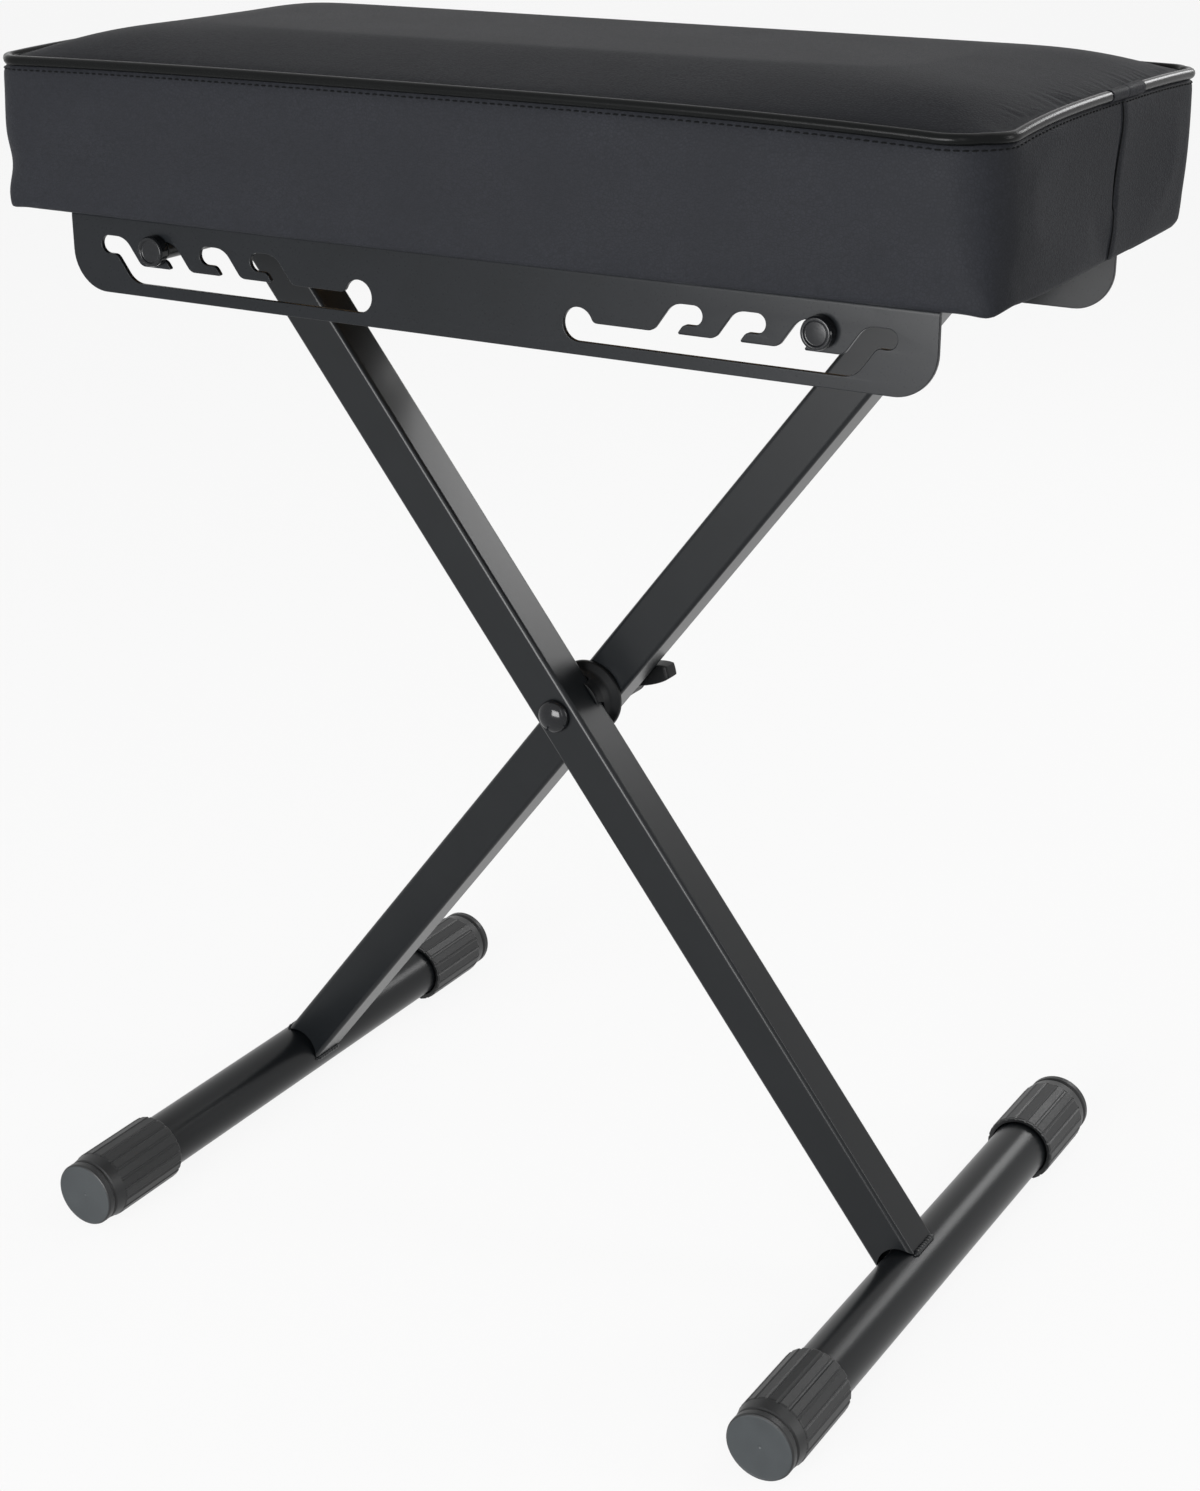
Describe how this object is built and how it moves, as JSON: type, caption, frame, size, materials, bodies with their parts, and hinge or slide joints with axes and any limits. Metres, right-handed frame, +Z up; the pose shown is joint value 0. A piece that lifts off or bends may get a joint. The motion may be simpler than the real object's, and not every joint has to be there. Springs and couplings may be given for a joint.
{
  "type": "folding keyboard bench",
  "caption": "Padded bench seat on slotted steel rails, carried by crossing square-tube legs that fold about a pivot bolt, with round foot bars in ribbed rubber caps.",
  "frame": {"origin": "on the floor, under the middle of the seat", "axes": "+Z up, +X along the seat to the right, +Y away from the side with the bolt head"},
  "size_m": [0.429, 0.3092, 0.5046],
  "materials": {
    "black_powder_coat": "satin, fine powder texture",
    "blackened_steel": "semi-gloss",
    "black_leatherette": "satin, fine grain",
    "grey_foam": "matt, open-celled",
    "plywood": "raw",
    "zinc_plated_steel": "bright",
    "black_plastic": "moulded, satin",
    "black_rubber": "matt"
  },
  "bodies": {
    "seat": {"cover_top_panel": "black_leatherette", "cover_side_band": "black_leatherette", "cover_piping": "black_leatherette", "foam_block": "grey_foam", "seat_board": "plywood", "front_rail": "black_powder_coat", "rear_rail": "black_powder_coat", "rail_screw_1": "zinc_plated_steel", "rail_screw_2": "zinc_plated_steel", "rail_screw_3": "zinc_plated_steel", "rail_screw_4": "zinc_plated_steel", "rail_screw_5": "zinc_plated_steel", "rail_screw_6": "zinc_plated_steel", "tee_nut_1": "zinc_plated_steel", "tee_nut_2": "zinc_plated_steel", "tee_nut_3": "zinc_plated_steel", "tee_nut_4": "zinc_plated_steel", "tee_nut_5": "zinc_plated_steel", "tee_nut_6": "zinc_plated_steel", "right_cross_rod": "black_powder_coat", "right_rod_cap_front": "blackened_steel", "right_rod_cap_rear": "blackened_steel"},
    "front_leg": {"front_leg": "black_powder_coat", "right_foot_bar": "black_powder_coat", "right_foot_cap_front": "black_rubber", "right_foot_cap_rear": "black_rubber", "left_cross_rod": "black_powder_coat", "left_rod_cap_front": "blackened_steel", "left_rod_cap_rear": "blackened_steel", "pivot_bolt": "blackened_steel", "pivot_spacer": "black_plastic"},
    "rear_leg": {"rear_leg": "black_powder_coat", "left_foot_bar": "black_powder_coat", "left_foot_cap_front": "black_rubber", "left_foot_cap_rear": "black_rubber", "pivot_washer": "zinc_plated_steel"},
    "pivot_knob": {"wing_knob": "black_plastic", "knob_nut": "zinc_plated_steel"}
  },
  "joints": [
    {"name": "frame_fold", "type": "hinge", "parent": "seat", "child": "front_leg", "pos_m": [-0.1464, 0, 0.42198], "axis": [0, 1, 0], "range_deg": [0, 34]},
    {"name": "leg_scissor", "type": "hinge", "parent": "front_leg", "child": "rear_leg", "pos_m": [0, 0, 0.23307], "axis": [0, 1, 0], "range_deg": [-68, 0]},
    {"name": "knob_turn", "type": "hinge", "parent": "rear_leg", "child": "pivot_knob", "pos_m": [0, 0.03, 0.23307], "axis": [0, 1, 0], "continuous": true}
  ],
  "couplings": [
    {"joint": "leg_scissor", "follows": "frame_fold", "ratio": -2}
  ]
}
